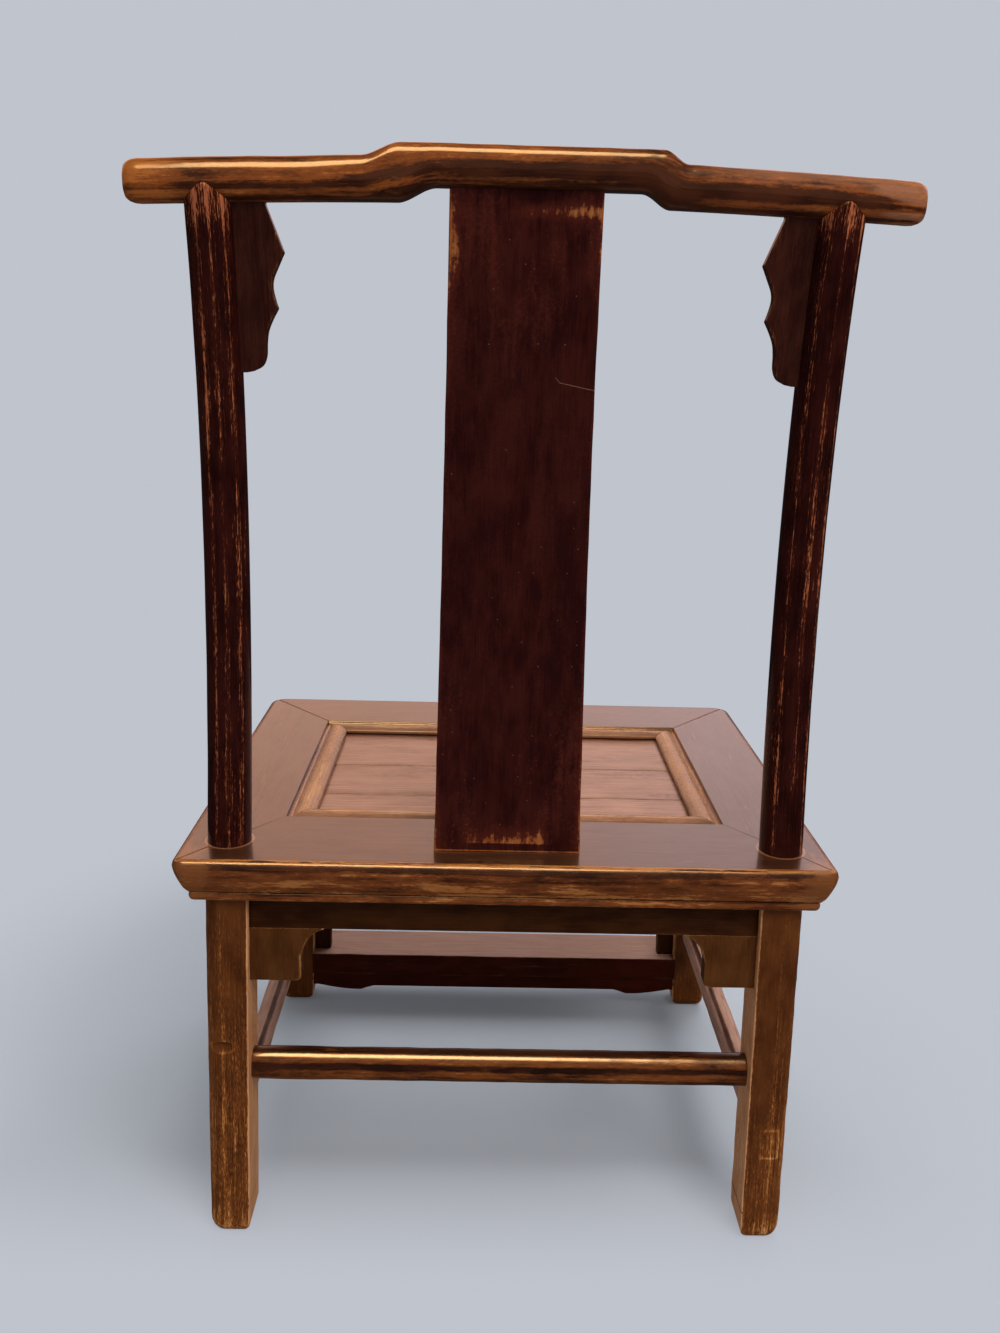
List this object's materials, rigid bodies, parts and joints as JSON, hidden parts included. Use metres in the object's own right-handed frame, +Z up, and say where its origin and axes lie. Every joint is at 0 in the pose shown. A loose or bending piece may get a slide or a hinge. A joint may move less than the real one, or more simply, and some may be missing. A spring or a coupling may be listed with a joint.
{
  "type": "yoke-back side chair",
  "caption": "Low yoke-back side chair of joined lacquered wood, with a plain curved splat, projecting crest rail, panelled seat, stretchers and a footrest.",
  "frame": {"origin": "on the floor under the middle of the bounding box", "axes": "+Z up; the sitter faces -Y, so +Y is the back of the chair; +X is the side of the sitter's left hand"},
  "size_m": [0.537, 0.4534, 0.8708],
  "materials": {
    "splat_lacquer": "dark red-brown lacquer, polished",
    "crest_lacquer": "lacquer worn to golden brown along the top, semi-gloss",
    "post_lacquer": "dark brown lacquer with orange wear streaks, semi-gloss",
    "seat_frame_wood": "worn brown lacquer over open grain, satin",
    "bead_wood": "light brown wood, satin",
    "seat_board_wood": "worn brown wood with open grain, satin",
    "bare_wood": "unfinished wood, matt",
    "stretcher_lacquer": "glossy dark lacquer with a worn upper edge",
    "footrest_lacquer": "dark lacquer, tread worn and paler",
    "apron_lacquer": "dark brown lacquer, worn at the edges"
  },
  "bodies": {
    "root": {"back_splat": "splat_lacquer", "crest_rail": "crest_lacquer", "footrest_apron": "footrest_lacquer", "front_apron": "apron_lacquer", "front_bead_strip": "bead_wood", "front_footrest": "footrest_lacquer", "front_seat_board": "seat_board_wood", "front_seat_rail": "seat_frame_wood", "left_apron": "apron_lacquer", "left_bead_strip": "bead_wood", "left_front_apron_strip": "apron_lacquer", "left_front_leg": "post_lacquer", "left_rear_post": "post_lacquer", "left_seat_batten": "bare_wood", "left_seat_rail": "seat_frame_wood", "left_side_front_bracket": "apron_lacquer", "left_side_rear_bracket": "apron_lacquer", "left_stretcher": "stretcher_lacquer", "left_top_spandrel": "apron_lacquer", "middle_seat_board": "seat_board_wood", "rear_apron": "apron_lacquer", "rear_bead_strip": "bead_wood", "rear_left_bracket": "apron_lacquer", "rear_right_bracket": "apron_lacquer", "rear_seat_board": "seat_board_wood", "rear_seat_rail": "seat_frame_wood", "rear_stretcher": "stretcher_lacquer", "right_apron": "apron_lacquer", "right_bead_strip": "bead_wood", "right_front_apron_strip": "apron_lacquer", "right_front_leg": "post_lacquer", "right_rear_post": "post_lacquer", "right_seat_batten": "bare_wood", "right_seat_rail": "seat_frame_wood", "right_side_front_bracket": "apron_lacquer", "right_side_rear_bracket": "apron_lacquer", "right_stretcher": "stretcher_lacquer", "right_top_spandrel": "apron_lacquer"}
  },
  "joints": []
}
